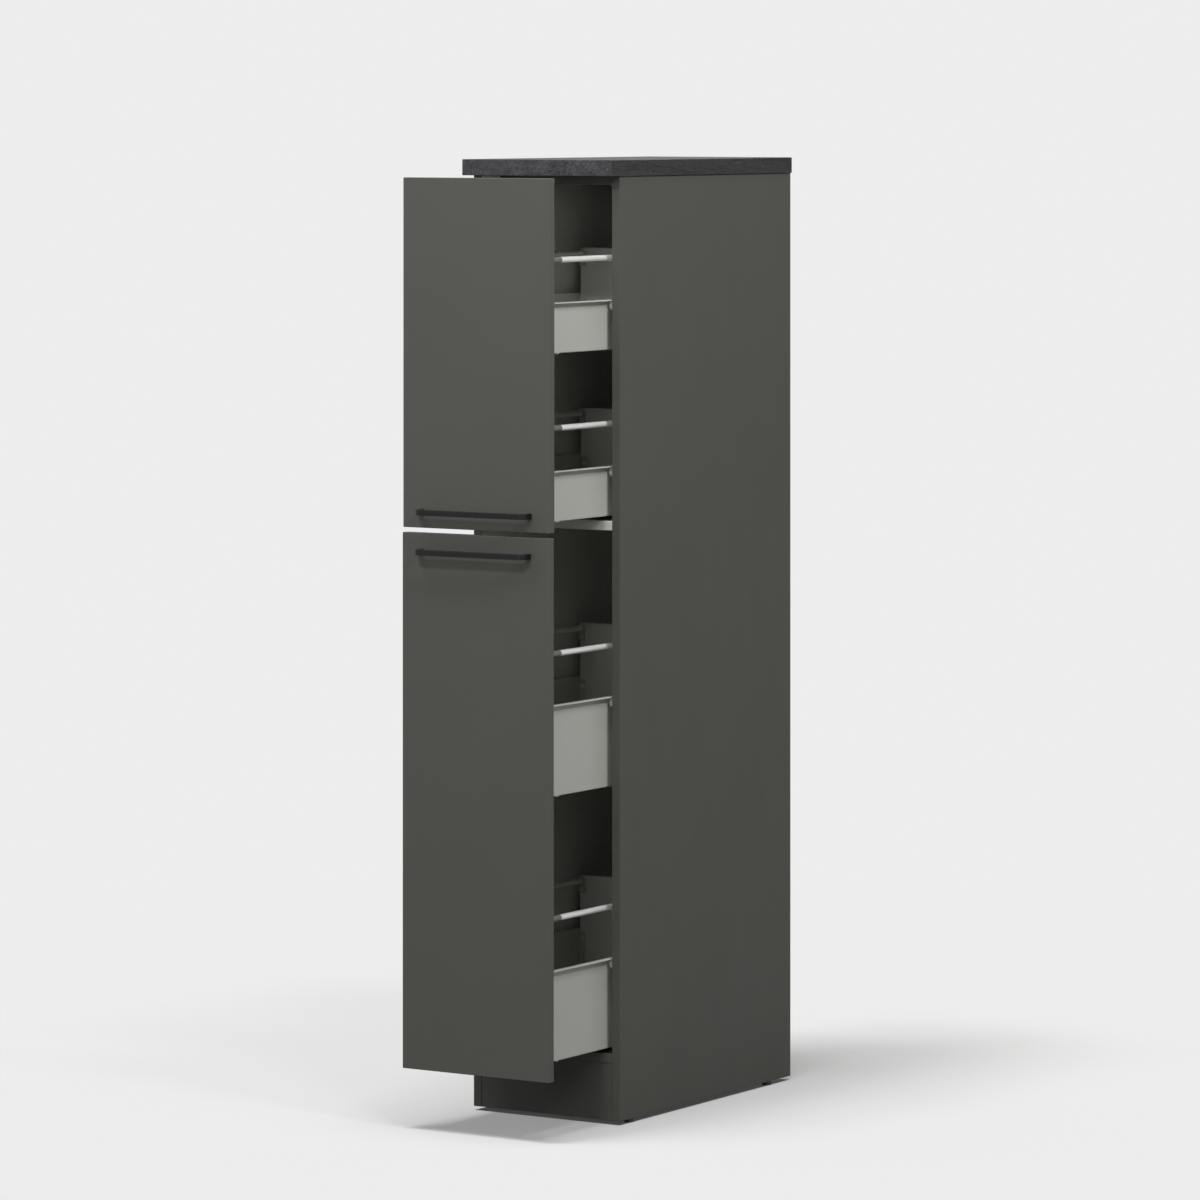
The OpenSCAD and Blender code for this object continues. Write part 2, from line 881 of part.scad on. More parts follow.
module pullout_screws(p) {
    color(zinc)
    on_pullout(p)
    both_sides()
    for (i = TRAYS)
        if (PULLOUT[i] == p) {
            at_section(i) {
                for (v = tab_screws(i))
                    translate([-tab_w / 2 - steel_t / 2, 0, v]) {
                        translate([0, steel_t, 0])
                        rotate([90, 0, 0])
                        screw(screw_d, steel_t + screw_l, head_d, head_h);
                        translate([0, tray_l - steel_t, 0])
                        rotate([-90, 0, 0])
                        screw(screw_d, steel_t + tab_screw_l, head_d, head_h);
                    }
                for (y = FOOT_SCREWS)
                    translate([-tab_w / 2 - steel_t / 2, y, 0])
                    screw(screw_d, screw_l, head_d, head_h);
            }
            at_rail(i)
            translate([0, 0, -rail_plate_drop]) {
                translate([0, rail_plate_t, 0])
                rotate([90, 0, 0])
                screw(screw_d, rail_plate_t + screw_l, head_d, head_h);
                translate([0, back_board_y - rail_plate_t, 0])
                rotate([-90, 0, 0])
                screw(screw_d, rail_plate_t + tab_screw_l, head_d, head_h);
            }
        }
}

side_panel_left();
side_panel_right();
bottom_panel();
fixed_shelf();
top_rail_front();
top_rail_rear();
back_panel();
plinth_board();
worktop();
worktop_brackets();
floor_glides();
cam_locks();
cam_bolts();
worktop_screws();
runner_screws();
front(0);  // upper_front
handle(0);  // upper_handle
handle_screws(0);  // upper_handle_screws
pullout_screws(0);  // upper_screws
front(1);  // lower_front
handle(1);  // lower_handle
handle_screws(1);  // lower_handle_screws
pullout_screws(1);  // lower_screws
for (i = TRAYS) {
    runners(i);
    front_rollers(i);
    tray_side_of(i, -1);
    tray_side_of(i, 1);
    tray_bottom(i);
    tray_back(i);
    rails(i);
    rail_fittings(i);
    rear_rollers(i);
}
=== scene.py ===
# Tall larder cabinet with two pull-outs, each with two steel-sided trays, drawn half out.
import math
import bpy
import numpy as np
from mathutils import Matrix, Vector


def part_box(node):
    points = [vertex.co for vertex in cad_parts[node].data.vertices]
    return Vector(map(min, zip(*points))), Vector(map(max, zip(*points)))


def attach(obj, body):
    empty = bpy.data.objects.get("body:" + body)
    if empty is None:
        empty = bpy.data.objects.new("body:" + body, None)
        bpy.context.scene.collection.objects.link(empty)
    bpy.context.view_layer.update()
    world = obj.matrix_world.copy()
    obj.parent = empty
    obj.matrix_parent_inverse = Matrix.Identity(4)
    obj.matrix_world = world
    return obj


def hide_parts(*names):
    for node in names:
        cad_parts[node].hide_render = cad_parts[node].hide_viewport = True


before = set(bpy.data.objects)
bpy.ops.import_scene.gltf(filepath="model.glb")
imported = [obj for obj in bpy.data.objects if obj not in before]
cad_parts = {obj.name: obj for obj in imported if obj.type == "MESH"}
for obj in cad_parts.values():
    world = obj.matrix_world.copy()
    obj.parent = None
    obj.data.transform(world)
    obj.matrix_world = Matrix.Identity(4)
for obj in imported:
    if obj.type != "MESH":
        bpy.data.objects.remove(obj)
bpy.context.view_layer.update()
MM = 0.001


# Side panels
# Two chipboard panels, 16 mm thick, with matt graphite laminate outside and light grey laminate
# inside. Thin graphite edging is glued to their narrow edges and rounded off with a scraper.

def sampled(points):
    """Rows of numbers as an array of floats."""
    return np.asarray(points, dtype=float)


def corners(node):
    """The lowest and the highest corner of a CAD node's box."""
    return sampled(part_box(node))


def grid_faces(rows, columns, close_rows=False):
    """Quads of a grid of points whose columns close: cell (i, j) joins rows i, i + 1 and columns
    j, j + 1, and the points are counted row by row."""
    i = np.arange(rows if close_rows else rows - 1)[:, None]
    j = np.arange(columns)[None, :]
    i2, j2 = (i + 1) % rows, (j + 1) % columns
    quads = np.stack(np.broadcast_arrays(
        i * columns + j, i * columns + j2, i2 * columns + j2, i2 * columns + j), axis=-1)
    return [tuple(q) for q in quads.reshape(-1, 4).tolist()]


def closed_tube(points):
    """Surface through an array (rings, points around, 3), with its first and last ring filled."""
    rings, around = points.shape[:2]
    faces = grid_faces(rings, around)
    faces.append(tuple(range(around))[::-1])
    faces.append(tuple(range((rings - 1) * around, rings * around)))
    return points.reshape(-1, 3), faces


def welded(points, faces):
    """Points that round to the same thousandth of a millimetre made one; collapsed faces dropped."""
    steps_per_metre = 1e6
    stepped = np.round(points * steps_per_metre).astype(np.int64)
    _, first, index = np.unique(stepped, axis=0, return_index=True, return_inverse=True)
    index = index.reshape(-1)
    kept = []
    for face in faces:
        ring = [int(index[i]) for i in face]
        ring = [v for n, v in enumerate(ring) if v != ring[n - 1]]
        if len(set(ring)) > 2:
            kept.append(tuple(ring))
    return points[first], kept


crisp_angle = math.radians(35)


def piece(name, shape, body, slot, nodes, *finishes, pick=None):
    """One mesh object. pick gives each face's finish from its normal. Edges that turn by more than
    crisp_angle stay crisp, and the others are shaded round, with the large faces kept flat."""
    points, faces = welded(*shape)
    mesh = bpy.data.meshes.new(name)
    mesh.from_pydata(points, [], faces)
    mesh.update()
    mesh.polygons.foreach_set("use_smooth", [True] * len(mesh.polygons))
    mesh.set_sharp_from_angle(angle=crisp_angle)
    for finish in finishes:
        mesh.materials.append(finish)
    if pick:
        normals = np.zeros(len(mesh.polygons) * 3)
        mesh.polygons.foreach_get("normal", normals)
        chosen = pick(normals.reshape(-1, 3)).astype(np.int32)
        mesh.polygons.foreach_set("material_index", chosen)
    made = bpy.data.objects.new(name, mesh)
    bpy.context.scene.collection.objects.link(made)
    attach(made, body)
    if nodes:
        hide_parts(*nodes)
    flat = made.modifiers.new("flat_faces", "WEIGHTED_NORMAL")
    flat.keep_sharp = True
    flat.weight = 100
    return made


def rounded_box(low, high, radius, steps=4):
    """Closed box with round edges. A direction n runs over a sphere, each eighth of it on its own
    stretch of the grid; a point is the inner box's corner on n's side, plus radius times n."""
    low, high = sampled(low), sampled(high)
    turn = np.linspace(0, np.pi / 2, steps + 1)
    longitude = np.concatenate([turn + q * np.pi / 2 for q in range(4)])
    x_side = np.repeat([1, -1, -1, 1], steps + 1)
    y_side = np.repeat([1, 1, -1, -1], steps + 1)
    latitude = np.concatenate([turn - np.pi / 2, turn])
    z_side = np.repeat([-1, 1], steps + 1)
    normal = np.stack([
        np.cos(latitude)[:, None] * np.cos(longitude),
        np.cos(latitude)[:, None] * np.sin(longitude),
        np.sin(latitude)[:, None] * np.ones_like(longitude)], axis=-1)
    side = np.stack(np.broadcast_arrays(x_side[None, :], y_side[None, :], z_side[:, None]), axis=-1)
    points = (low + high) / 2 + side * ((high - low) / 2 - radius) + radius * normal
    return closed_tube(points)


class Wire:
    """An output socket in a material. Sums, differences and products with it add Math nodes."""

    def __init__(self, socket):
        self.socket = socket
        self.tree = socket.id_data

    def node(self, kind, settings=None, out=0, **sockets):
        """A new node: its settings, then the values or links of its sockets, named or as i0, i1."""
        made = self.tree.nodes.new("ShaderNode" + kind)
        for key, value in (settings or {}).items():
            if key == "stops":
                ramp = made.color_ramp
                while len(ramp.elements) < len(value):
                    ramp.elements.new(0.5)
                for element, (place, level) in zip(ramp.elements, value):
                    element.position = place
                    element.color = (level, level, level, 1)
            else:
                setattr(made, key, value)
        for key, value in sockets.items():
            if key[0] == "i" and key[1:].isdigit():
                target = made.inputs[int(key[1:])]
            else:
                target = made.inputs[key.replace("_", " ")]
            if isinstance(value, Wire):
                self.tree.links.new(value.socket, target)
            else:
                target.default_value = value
        return Wire(made.outputs[out])

    def math(self, operation, *values):
        """A Math node on the given wires and numbers."""
        return self.node("Math", {"operation": operation}, **{"i%d" % n: v for n, v in enumerate(values)})

    def __add__(self, other):
        return self.math("ADD", self, other)

    def __sub__(self, other):
        return self.math("SUBTRACT", self, other)

    def __mul__(self, other):
        return self.math("MULTIPLY", self, other)

    def __radd__(self, other):
        return self.math("ADD", other, self)

    def __rsub__(self, other):
        return self.math("SUBTRACT", other, self)

    def __rmul__(self, other):
        return self.math("MULTIPLY", other, self)

    def stretched(self, x, y, z):
        """These coordinates with each axis scaled, so that a pattern on them is drawn out."""
        return self.node("Mapping", {}, Vector=self, Scale=(x, y, z))

    def noise(self, scale, detail=2.0, roughness=0.5):
        """Soft noise from 0 to 1 on these coordinates, with features of 1 / scale metres."""
        return self.node("TexNoise", {}, Vector=self, Scale=scale, Detail=detail, Roughness=roughness)

    def ramp(self, *stops):
        """This value read off a grey ramp of (place, level) stops."""
        return self.node("ValToRGB", {"stops": stops}, Fac=self)

    def tint(self, dark, light):
        """Colour between two colours, by this value."""
        return self.mixed((*dark, 1), (*light, 1))

    def mixed(self, first, second):
        """Mix of two colours or wires by this value: a colour Mix has them at sockets 6 and 7."""
        return self.node("Mix", {"data_type": "RGBA"}, 2, i0=self, i6=first, i7=second)


def linear(red, green, blue):
    """A colour given as 0 to 255 in a picture, as the shader's linear values."""
    level = sampled([red, green, blue]) / 255
    return tuple(np.where(level <= 0.04045, level / 12.92, ((level + 0.055) / 1.055) ** 2.4).tolist())


def shade(colour, by):
    """A colour made lighter or darker by a factor."""
    return tuple(min(1.0, c * by) for c in colour)


class Finish:
    """A material with one shader. Constants are set on its sockets, and what varies is linked."""

    def __init__(self, name, **constants):
        self.material = bpy.data.materials.new(name)
        self.material.use_nodes = True
        self.tree = self.material.node_tree
        self.shader = next(n for n in self.tree.nodes if n.type == "BSDF_PRINCIPLED")
        for key, value in constants.items():
            self.shader.inputs[key.replace("_", " ")].default_value = value
        place = self.tree.nodes.new("ShaderNodeTexCoord")
        self.place = Wire(place.outputs["Object"])

    def link(self, **varying):
        """Links what varies to the shader's sockets."""
        for key, wire in varying.items():
            self.tree.links.new(wire.socket, self.shader.inputs[key.replace("_", " ")])
        return self.material

    def bump(self, height, depth, strength):
        """Normal from a height of 0 to 1 that is depth metres deep."""
        return self.place.node("Bump", {}, Height=height, Distance=depth, Strength=strength)


def laminate(name, colour, rough=0.55):
    """Matt melamine: pearl grain of 0.4 mm, faint clouds of colour, and wiped patches of sheen."""
    finish = Finish(name, Specular_IOR_Level=0.2)
    place = finish.place
    clouds = place.noise(5, 4)
    pearl = place.noise(2400, 3, 0.6)
    wiped = place.stretched(1, 1, 0.25).noise(22, 3)
    mix = clouds * 0.5 + pearl * 0.5
    return finish.link(
        Base_Color=mix.tint(shade(colour, 0.90), shade(colour, 1.10)),
        Roughness=rough - 0.06 + wiped * 0.10 + pearl * 0.04,
        Normal=finish.bump(pearl, depth=0.03 * MM, strength=0.5))


def edging(name, colour):
    """Plastic edging strip: fine upright lines from the scraper, and faint clouds of colour."""
    finish = Finish(name, Specular_IOR_Level=0.2)
    lines = finish.place.stretched(1, 1, 0.02).noise(3000, 2)
    clouds = finish.place.noise(40, 3)
    return finish.link(
        Base_Color=(lines * 0.35 + clouds * 0.65).tint(shade(colour, 0.92), shade(colour, 1.10)),
        Roughness=0.5 + lines * 0.08,
        Normal=finish.bump(lines, depth=0.012 * MM, strength=0.4))


GRAPHITE = linear(76, 77, 72)
graphite_face = laminate("graphite_laminate", GRAPHITE)
graphite_edge = edging("graphite_edging", GRAPHITE)


def edged(axis, ahead, behind):
    """Picks a face's finish: number ahead where it looks up the axis, number behind where it looks
    down it, and the number after these on the edges."""
    def pick(normals):
        along = normals[:, axis]
        square = 0.999
        return np.where(along > square, ahead, np.where(along < -square, behind, max(ahead, behind) + 1))
    return pick


def board(node, body, slot, arris, *finishes, ahead=0, behind=0, clear=0.0):
    """A board in its CAD node's place, its edges rounded to radius arris; its thin axis tells faces
    from edges. Its ends stop short of its place by clear, which leaves a fine joint."""
    low, high = corners(node)
    low, high = low + [clear, 0, 0], high - [clear, 0, 0]
    thin = int(np.argmin(high - low))
    return piece(node + "_board", rounded_box(low, high, arris), body, slot, [node], *finishes,
                 pick=edged(thin, ahead, behind))


INSIDE = linear(207, 207, 202)
light_face = laminate("light_laminate", INSIDE, rough=0.45)
panel_arris = 0.9 * MM
for side, ahead, behind in (("left", 1, 0), ("right", 0, 1)):
    board("side_panel_" + side, "carcass", "graphite_board", panel_arris, graphite_face, light_face,
          graphite_edge, ahead=ahead, behind=behind)


# Bottom panel, top rails and plinth board
# Boards of the same laminated chipboard between the side panels. The bottom panel and the plinth board
# under it are graphite all round; the bottom panel's dark top is painted shade under the lower tray. The
# upright rear rail takes the two screws to the wall.

rail_edge = edging("rail_edging", linear(96, 97, 92))
bottom_arris = 0.8 * MM
rail_arris = 0.5 * MM
plinth_arris = 0.9 * MM
# Painted shade: the bottom panel's top takes the dark graphite, not the light grey of the inside.
board("bottom_panel", "carcass", "graphite_board", bottom_arris, graphite_face, graphite_edge,
      clear=0.25 * MM)
board("top_rail_front", "carcass", "graphite_board", rail_arris, light_face, rail_edge)
board("plinth_board", "carcass", "graphite_board", plinth_arris, graphite_face, graphite_edge,
      clear=0.45 * MM)


def dress(node, material):
    """Gives a CAD node that is kept a material in place of its own."""
    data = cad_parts[node].data
    data.materials.clear()
    data.materials.append(material)


dress("top_rail_rear", light_face)


# Fixed shelf
# The board between the two bays, in the light grey laminate of the inside. Its front edge has
# light edging too, which shows in the gap between the fronts and beside the trays.

light_edge = edging("light_edging", linear(196, 196, 190))
shelf_arris = 0.6 * MM
board("fixed_shelf", "carcass", "shelf_board", shelf_arris, light_face, light_edge)


# Back panel
# Thin hardboard in grooves of the side panels, with two holes for the wall screws. Its inner
# side is printed light grey and its rear shows the bare brown fibre.

def fibre_board(name, middle):
    """Light film before the board's middle y; behind it pressed brown fibre with strands and specks."""
    finish = Finish(name, Specular_IOR_Level=0.35)
    place = finish.place
    strands = place.stretched(1, 1, 0.3).noise(700, 4, 0.7)
    specks = place.noise(260, 2).ramp((0.60, 0), (0.68, 1))
    brown = (strands - specks * 0.35).tint(linear(78, 55, 38), linear(142, 108, 78))
    film = strands.tint(shade(INSIDE, 0.92), shade(INSIDE, 1.02))
    rear = place.node("SeparateXYZ", {}, 1, Vector=place)
    rear = rear.math("GREATER_THAN", rear, middle)
    return finish.link(
        Base_Color=rear.mixed(film, brown),
        Roughness=0.62 + rear * 0.14 + strands * 0.08,
        Normal=finish.bump(strands, depth=0.08 * MM, strength=0.6))


(_, back_front, _), (_, back_rear, _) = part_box("back_panel")
dress("back_panel", fibre_board("hardboard", (back_front + back_rear) / 2))


# Worktop
# A 28 mm chipboard top under anthracite laminate with a pressed wood grain. The grain runs from front to
# back, so its ends show as a mottled figure on the front strip. The top, the underside and the sides take
# a darker copy of the anthracite as painted shade, and the front and the rear a lighter copy as painted
# light.

ANTHRACITE = linear(60, 60, 62)


def wood_grain(name, colour, along, across):
    """Anthracite wood: noise on coordinates squeezed along the grain, which draws it out into broad
    bands, fine streaks, pale flecks and short open pores. The pores are darker, rougher and sunk.
    A slow wave, times across, shifts the coordinates, so that the bands wander."""
    finish = Finish(name, Specular_IOR_Level=0.12)
    wave = finish.place.noise(9, 3)
    wave = finish.place.node("CombineXYZ", {}, X=wave, Y=wave, Z=wave)
    drift = finish.place.node("VectorMath", {"operation": "MULTIPLY_ADD"},
                              i0=wave, i1=across, i2=finish.place)
    grain = drift.stretched(*along)
    bands = grain.noise(60, 4, 0.6)
    streaks = grain.noise(430, 5, 0.7)
    pores = grain.noise(1000, 2, 0.5).ramp((0.58, 0), (0.66, 1))
    flecks = grain.noise(620, 3, 0.65).ramp((0.54, 0), (0.66, 1))
    tone = bands * 0.8 + streaks * 1.1 - 0.55 - pores * 0.30 + flecks * 0.42
    tone = tone.ramp((0.05, 0.0), (0.95, 1.0))
    return finish.link(
        Base_Color=tone.tint(shade(colour, 0.3125), shade(colour, 1.9375)),
        Roughness=0.40 + pores * 0.20 + streaks * 0.10,
        Normal=finish.bump(streaks * 0.6 - pores * 0.5, depth=0.10 * MM, strength=0.6))


# Painted shade and light: one anthracite made darker (0.62) for the long-grain faces and lighter (1.20)
# for the end-grain faces.
long_grain_painted_shade = wood_grain("anthracite_long_grain", shade(ANTHRACITE, 0.62),
                        along=(1.0, 0.06, 1.0), across=(0.02, 0.0, 0.02))
end_grain_painted_light = wood_grain("anthracite_end_grain", shade(ANTHRACITE, 1.20),
                       along=(0.55, 1.0, 0.75), across=(0.05, 0.0, 0.05))


def worktop_finish(normals):
    """Long grain, painted darker as shade, on the top, the underside and both sides; end figure, painted
    lighter as light, on the front and the rear.
    """
    return np.abs(normals[:, 1]) > 0.5


piece("worktop_board", rounded_box(*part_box("worktop"), radius=1.2 * MM, steps=6), "carcass",
      "worktop_board", ["worktop"], long_grain_painted_shade, end_grain_painted_light, pick=worktop_finish)


# Floor glides
# Four low black plastic discs with a bevelled foot, pushed with their pins into the lower edges
# of the side panels.

def lathe(profile, centre, axis=2, around=48):
    """Solid of revolution. The profile's (height, radius) points are carried round an axis; radius
    0 at either end makes a pole, which closes the shape."""
    profile = sampled(profile)
    angle = np.linspace(0, 2 * np.pi, around, endpoint=False)
    height, radius = profile[:, 0][:, None], profile[:, 1][:, None]
    rings = np.zeros((len(profile), around, 3))
    first, second = (axis + 1) % 3, (axis + 2) % 3
    rings[..., axis] = height
    rings[..., first] = radius * np.cos(angle)
    rings[..., second] = radius * np.sin(angle)
    return closed_tube(rings + sampled(centre))


def joined(*shapes):
    """Several shapes as one, each with its own points."""
    points, faces, start = [], [], 0
    for shape_points, shape_faces in shapes:
        points.append(shape_points)
        faces += [tuple(i + start for i in f) for f in shape_faces]
        start += len(shape_points)
    return np.concatenate(points), faces


def mirrored(shape):
    """The shape's mirror image across X = 0, with its faces turned back outwards."""
    return shape[0] * [-1, 1, 1], [f[::-1] for f in shape[1]]


def both_sides(shape):
    """A right-hand shape together with its mirror image."""
    return joined(shape, mirrored(shape))


def plastic(name, colour, rough):
    """Moulded plastic: a fine eroded grain, and faint flow clouds in its colour."""
    finish = Finish(name, Specular_IOR_Level=0.45)
    grains = finish.place.noise(900, 3, 0.6)
    flow = finish.place.noise(30, 3)
    return finish.link(
        Base_Color=(flow * 0.6 + grains * 0.4).tint(shade(colour, 0.90), shade(colour, 1.08)),
        Roughness=rough + grains * 0.12,
        Normal=finish.bump(grains, depth=0.05 * MM, strength=0.5))


black_plastic = plastic("black_plastic", linear(30, 30, 30), rough=0.5)
low, high = corners("floor_glides")
glide_r = 9 * MM
glide_h = 7 * MM
glide_pin_r = 2 * MM
glide_pin_top = glide_h + 1 * MM
glide_profile = [(0, 0), (0, 7.0 * MM), (0.4 * MM, 7.9 * MM), (1.6 * MM, 8.9 * MM), (2.2 * MM, glide_r),
                 (glide_h, glide_r), (glide_h, glide_pin_r), (glide_pin_top, glide_pin_r),
                 (glide_pin_top, 0)]
glides = [lathe(glide_profile, (high[0] - glide_r, y, 0)) for y in (low[1] + glide_r, high[1] - glide_r)]
piece("floor_glides_feet", both_sides(joined(*glides)), "carcass", "glide_plastic", ["floor_glides"],
      black_plastic)


# Cams and their bolts
# Die-cast zinc cams in pockets of the boards pull the bolts in and the corners tight. Each cam
# shows a round face with a cross slot; the bolts stay hidden inside the boards.

def zinc(name):
    """Zinc plating: crystals a few millimetres wide in slightly different greys, with fine scratches."""
    finish = Finish(name, Metallic=1.0)
    crystals = finish.place.node("TexVoronoi", {}, 1, Vector=finish.place, Scale=420.0)
    crystals = finish.place.node("SeparateColor", {}, 0, Color=crystals)
    scratches = finish.place.stretched(1, 1, 0.05).noise(2600, 3)
    return finish.link(
        Base_Color=(crystals * 0.6 + scratches * 0.4).tint((0.50, 0.51, 0.53), (0.72, 0.73, 0.75)),
        Roughness=0.30 + crystals * 0.10 + scratches * 0.10,
        Normal=finish.bump(scratches, depth=0.01 * MM, strength=0.5))


zinc_plate = zinc("zinc_plate")


def slotted_head(radius, height, slot_width, slot_length, depth, rings=14, around=48):
    """Round head that points down from z = 0, with a cross slot. Over a polar grid the depth is a
    dome, less depth wherever x or y lies within half a slot's width."""
    share = np.linspace(0, 1, rings)[:, None]
    angle = np.linspace(0, 2 * np.pi, around, endpoint=False)[None, :]
    x, y = radius * share * np.cos(angle), radius * share * np.sin(angle)
    near = np.minimum(np.abs(x), np.abs(y)) < slot_width / 2
    cut = near & (np.hypot(x, y) < slot_length / 2)
    dome = height * (0.55 + 0.45 * np.sqrt(np.clip(1 - share ** 4, 0, 1)))
    drop = np.where(cut, np.maximum(dome - depth, 0.1 * height), dome)
    face = np.stack([x, y, -drop], axis=-1)
    rim = np.stack([x[-1], y[-1], np.zeros(around)], axis=-1)[None]
    return closed_tube(np.concatenate([face, rim]))


def moved(shape, by):
    """The shape shifted by a vector."""
    return shape[0] + sampled(by), shape[1]


cam_face = slotted_head(radius=7.3 * MM, height=0.35 * MM, slot_width=1.4 * MM, slot_length=7 * MM,
                        depth=0.3 * MM)
carcass_low, carcass_high = corners("side_panel_right")
inner_x, carcass_y = carcass_low[:2]
cam_x = inner_x - 24 * MM
CAMS_BEHIND_FRONT = {"bottom_panel": (60, 497), "fixed_shelf": (60, 497), "top_rail_front": (110,)}
cams = []
for node, places in CAMS_BEHIND_FRONT.items():
    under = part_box(node)[0][2]
    cams += [moved(cam_face, (cam_x, carcass_y + y * MM, under)) for y in places]
piece("cam_locks_faces", both_sides(joined(*cams)), "carcass", "zinc_steel", ["cam_locks"], zinc_plate)
dress("cam_bolts", zinc_plate)
dress("worktop_brackets", zinc_plate)


# Worktop screws
# Zinc-plated chipboard screws come up through the front rail and the two rear angles into the
# worktop, and one more holds each angle to the rear rail. Only their domed, cross-slotted heads show.

def turned(shape, axis):
    """A shape that points along -Z turned to point along -X, -Y or +Y."""
    x, y, z = shape[0].T
    new = {"-x": (z, y, -x), "-y": (x, z, -y), "+y": (x, -z, y)}[axis]
    return np.stack(new, axis=-1), shape[1]


screw_head = slotted_head(radius=4 * MM, height=2 * MM, slot_width=0.9 * MM, slot_length=4.6 * MM,
                          depth=1.1 * MM)
rail_low, rail_high = corners("top_rail_front")
angle_y, angle_z = corners("worktop_brackets")[1][1:]
angle_t = 2 * MM
angle_hole = 18 * MM
heads = [moved(screw_head, (inner_x / 2, (rail_low[1] + rail_high[1]) / 2, rail_low[2])),
         moved(screw_head, (inner_x / 2, angle_y - angle_hole, angle_z - angle_t)),
         moved(turned(screw_head, "-y"), (inner_x / 2, angle_y - angle_t, angle_z - angle_hole))]
piece("worktop_screws_heads", both_sides(joined(*heads)), "carcass", "zinc_steel", ["worktop_screws"],
      zinc_plate)


# Roller runners
# Rolled steel channels, powder coated light grey, screwed to the side panels. The tray's rear
# roller runs inside; a tab pressed from the upper flange stops it. At the front the flanges are
# cut back to a plate, and a riveted pin on it carries the fixed roller.

TRAYS = (1, 2, 3, 4)
STEEL = linear(181, 181, 175)


def powder_coat(name, colour):
    """Powder coat on steel: orange peel of about 1 mm, finer grit on it, and faint broad clouds."""
    finish = Finish(name, Specular_IOR_Level=0.5)
    peel = finish.place.noise(900, 2, 0.5)
    grit = finish.place.noise(4200, 2, 0.6)
    clouds = finish.place.noise(7, 3)
    return finish.link(
        Base_Color=(clouds * 0.7 + grit * 0.3).tint(shade(colour, 0.94), shade(colour, 1.06)),
        Roughness=0.42 + peel * 0.08 + grit * 0.05,
        Normal=finish.bump(peel * 0.7 + grit * 0.3, depth=0.04 * MM, strength=0.5))


grey_steel = powder_coat("grey_powder_coat", STEEL)


def folded(line, thickness, bend, steps=5):
    """Section of a folded sheet. The corners (u, v) of its middle line become arcs of radius bend,
    and both faces lie half a thickness off it; returns the two faces as arrays of (u, v)."""
    line = sampled(line)
    middle, normal = [], []
    for n, corner in enumerate(line):
        before = line[n] - line[n - 1] if n else None
        after = line[n + 1] - line[n] if n + 1 < len(line) else None
        if before is None or after is None:
            along = (after if before is None else before)
            along = along / np.hypot(*along)
            middle.append(corner[None])
            normal.append(sampled([[-along[1], along[0]]]))
            continue
        before, after = before / np.hypot(*before), after / np.hypot(*after)
        turn = before[0] * after[1] - before[1] * after[0]
        angle = math.atan2(turn, before @ after)
        cut = bend * math.tan(abs(angle) / 2)
        start = corner - before * cut
        left = sampled([-before[1], before[0]])
        centre = start + left * bend * np.sign(angle)
        swing = np.linspace(0, angle, steps + 1)
        rotated = np.stack([left[0] * np.cos(swing) - left[1] * np.sin(swing),
                            left[0] * np.sin(swing) + left[1] * np.cos(swing)], axis=-1)
        middle.append(centre - rotated * bend * np.sign(angle))
        normal.append(rotated)
    middle, normal = np.concatenate(middle), np.concatenate(normal)
    return middle + normal * thickness / 2, middle - normal * thickness / 2


def sheet_along_y(faces_uv, y0, y1, origin):
    """A folded section carried straight from y0 to y1; u runs along X and v along Z from origin."""
    left, right = faces_uv
    ring = np.concatenate([left, right[::-1]])
    count = len(left)
    points = np.zeros((2, len(ring), 3))
    points[..., 0] = origin[0] + ring[:, 0]
    points[..., 2] = origin[1] + ring[:, 1]
    points[0, :, 1], points[1, :, 1] = y0, y1
    faces = grid_faces(2, len(ring))
    last = 2 * count - 1
    for n in range(count - 1):
        quad = (n, n + 1, last - n - 1, last - n)
        faces.append(quad[::-1])
        faces.append(tuple(i + 2 * count for i in quad))
    return points.reshape(-1, 3), faces


PIN_SIDES = 32
shoulder_r = 3.2 * MM
rivet_t = 0.6 * MM


def rivet(x, y, z):
    """Low domed rivet head, as wide as a shoulder, on a pin along X: it stands proud at x, towards
    the middle."""
    profile = [(0, 0), (0, shoulder_r), (-0.35 * rivet_t, shoulder_r), (-0.8 * rivet_t, 0.72 * shoulder_r),
               (-rivet_t, 0.3 * shoulder_r), (-rivet_t, 0)]
    return lathe(profile, (x, y, z), 0, PIN_SIDES)


def plain_pin(radius, length, x, y, z):
    """Round pin along X, from x on."""
    return lathe([(0, 0), (0, radius), (length, radius), (length, 0)], (x, y, z), 0, PIN_SIDES)


